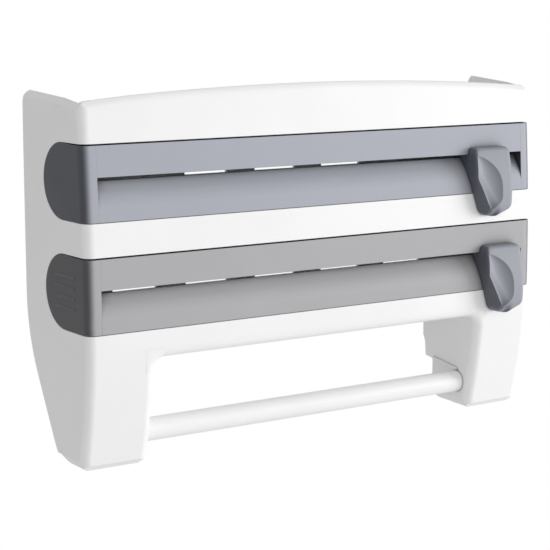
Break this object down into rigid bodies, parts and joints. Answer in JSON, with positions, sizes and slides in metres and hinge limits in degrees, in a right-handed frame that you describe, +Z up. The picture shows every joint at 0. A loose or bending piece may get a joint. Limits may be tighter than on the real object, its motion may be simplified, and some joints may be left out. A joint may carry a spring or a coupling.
{
  "type": "wall-hung kitchen wrap organiser",
  "caption": "White wall-hung kitchen organiser with pull-out grey film boxes, sliding cutters above the sills, an open top shelf and a lift-out towel rod between its legs.",
  "frame": {"origin": "midway between the hanging holes, on the plane of the wall", "axes": "+X to the right seen from the front, +Y into the wall, +Z up"},
  "size_m": [0.39, 0.1021, 0.2584],
  "materials": {
    "white_shell": "satin",
    "white_panel": "matte",
    "white_rod": "satin",
    "upper_grey": "satin",
    "lower_grey": "satin",
    "knob_grey": "satin",
    "carriage_dark": "matte",
    "rail_metal": "satin",
    "blade_steel": "ground",
    "screw_steel": "plain"
  },
  "bodies": {
    "root": {"casing": "white_shell", "back_panel": "white_panel", "panel_screws": "screw_steel"},
    "upper_box": {"upper_lid": "upper_grey", "upper_trough": "upper_grey", "upper_left_cap": "upper_grey", "upper_right_cap": "upper_grey", "upper_cap_screws": "screw_steel", "upper_rail": "rail_metal"},
    "upper_cutter": {"upper_knob": "knob_grey", "upper_carriage": "carriage_dark", "upper_blade": "blade_steel", "upper_carriage_screws": "screw_steel"},
    "lower_box": {"lower_lid": "lower_grey", "lower_trough": "lower_grey", "lower_left_cap": "lower_grey", "lower_right_cap": "lower_grey", "lower_cap_screws": "screw_steel", "lower_rail": "rail_metal"},
    "lower_cutter": {"lower_knob": "knob_grey", "lower_carriage": "carriage_dark", "lower_blade": "blade_steel", "lower_carriage_screws": "screw_steel"},
    "rod_ends": {"rod_left_end": "white_rod", "rod_right_end": "white_rod"},
    "rod": {"rod_tube": "white_rod"}
  },
  "joints": [
    {"name": "upper_box_pull", "type": "slide", "parent": "root", "child": "upper_box", "axis": [0, -1, 0], "range_m": [0, 0.055]},
    {"name": "upper_cutter_slide", "type": "slide", "parent": "upper_box", "child": "upper_cutter", "axis": [1, 0, 0], "range_m": [-0.305, 0.017]},
    {"name": "lower_box_pull", "type": "slide", "parent": "root", "child": "lower_box", "axis": [0, -1, 0], "range_m": [0, 0.055]},
    {"name": "lower_cutter_slide", "type": "slide", "parent": "lower_box", "child": "lower_cutter", "axis": [1, 0, 0], "range_m": [-0.316, 0.0065]},
    {"name": "rod_lift_out", "type": "slide", "parent": "root", "child": "rod_ends", "axis": [0, 0.9942, 0.108], "range_m": [0, 0.04]},
    {"name": "rod_spin", "type": "hinge", "parent": "rod_ends", "child": "rod", "pos_m": [0, -0.0603, -0.2145], "axis": [1, 0, 0], "continuous": true}
  ]
}
